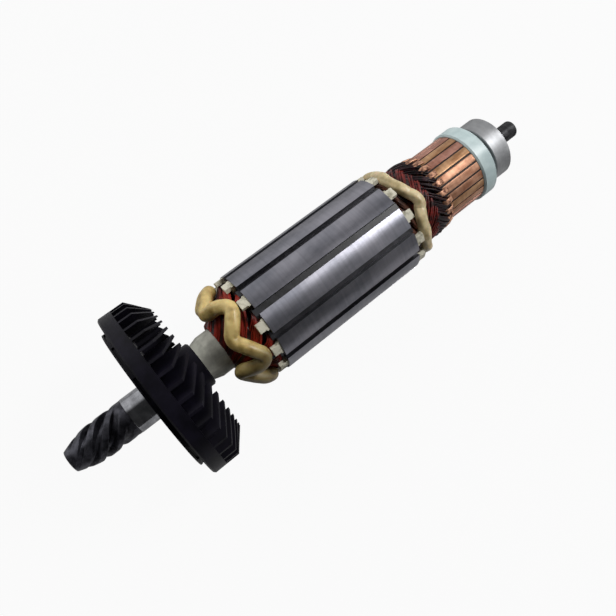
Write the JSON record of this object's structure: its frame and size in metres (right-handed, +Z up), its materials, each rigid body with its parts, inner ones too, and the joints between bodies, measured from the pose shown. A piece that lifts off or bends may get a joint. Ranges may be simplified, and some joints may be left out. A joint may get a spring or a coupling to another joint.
{
  "type": "motor armature",
  "caption": "Wound motor armature with a cooling fan, a helical pinion on its shaft, a copper commutator and a rear ball bearing.",
  "frame": {"origin": "on the shaft axis at the middle of the front bearing seat", "axes": "+X along the shaft from the pinion to the commutator, +Z up, +Y to complete the right-handed frame"},
  "size_m": [0.1838, 0.0576, 0.0576],
  "materials": {
    "shaft_steel": "ground on the bearing seat, black and oily on the pinion, dark on the stub",
    "fan_nylon": "moulded black nylon with a slight sheen",
    "sleeve_laminate": "mottled grey wrapped insulating tube, stained",
    "stack_steel": "turned electrical steel sheets, fine lines round the stack",
    "end_board": "off-white insulating board",
    "slot_paper": "slot paper",
    "wedge_fibre": "black fibre slot wedge",
    "magnet_wire": "red enamelled copper wire under varnish",
    "lacing_cord": "cream lacing cord, varnished and stained",
    "lead_wire": "dark red varnished coil leads",
    "comm_resin": "moulded commutator body",
    "mica": "insulation between the bars, cut below the track",
    "comm_copper": "turned copper with fine brush lines",
    "ring_plastic": "pale green-white insulating ring, a little dirty",
    "bearing_steel": "polished bearing steel",
    "cage_steel": "pressed ball cage",
    "ball_steel": "polished balls",
    "shield_steel": "pressed sheet steel shield"
  },
  "bodies": {
    "rotor": {"shaft": "shaft_steel", "fan": "fan_nylon", "insulating_sleeve": "sleeve_laminate", "lamination_stack": "stack_steel", "front_end_insulator": "end_board", "rear_end_insulator": "end_board", "slot_liners": "slot_paper", "winding": "magnet_wire", "front_lacing": "lacing_cord", "rear_lacing": "lacing_cord", "commutator_leads": "lead_wire", "commutator_hub": "comm_resin", "mica_strips": "mica", "end_ring": "ring_plastic", "bearing_inner_ring": "bearing_steel", "slot_wedge_1": "wedge_fibre", "slot_wedge_2": "wedge_fibre", "slot_wedge_3": "wedge_fibre", "slot_wedge_4": "wedge_fibre", "slot_wedge_5": "wedge_fibre", "slot_wedge_6": "wedge_fibre", "slot_wedge_7": "wedge_fibre", "slot_wedge_8": "wedge_fibre", "slot_wedge_9": "wedge_fibre", "slot_wedge_10": "wedge_fibre", "slot_wedge_11": "wedge_fibre", "slot_wedge_12": "wedge_fibre", "commutator_bar_1": "comm_copper", "commutator_bar_2": "comm_copper", "commutator_bar_3": "comm_copper", "commutator_bar_4": "comm_copper", "commutator_bar_5": "comm_copper", "commutator_bar_6": "comm_copper", "commutator_bar_7": "comm_copper", "commutator_bar_8": "comm_copper", "commutator_bar_9": "comm_copper", "commutator_bar_10": "comm_copper", "commutator_bar_11": "comm_copper", "commutator_bar_12": "comm_copper", "commutator_bar_13": "comm_copper", "commutator_bar_14": "comm_copper", "commutator_bar_15": "comm_copper", "commutator_bar_16": "comm_copper", "commutator_bar_17": "comm_copper", "commutator_bar_18": "comm_copper", "commutator_bar_19": "comm_copper", "commutator_bar_20": "comm_copper", "commutator_bar_21": "comm_copper", "commutator_bar_22": "comm_copper", "commutator_bar_23": "comm_copper", "commutator_bar_24": "comm_copper"},
    "outer_ring": {"bearing_outer_ring": "bearing_steel", "bearing_front_shield": "shield_steel", "bearing_rear_shield": "shield_steel"},
    "ball_set": {"bearing_cage": "cage_steel", "bearing_balls": "ball_steel"}
  },
  "joints": [
    {"name": "outer_ring_spin", "type": "hinge", "parent": "rotor", "child": "outer_ring", "pos_m": [0.1434, 0, 0], "axis": [1, 0, 0], "continuous": true},
    {"name": "ball_set_spin", "type": "hinge", "parent": "rotor", "child": "ball_set", "pos_m": [0.1434, 0, 0], "axis": [1, 0, 0], "continuous": true}
  ],
  "couplings": [
    {"joint": "ball_set_spin", "follows": "outer_ring_spin", "ratio": 0.63}
  ]
}
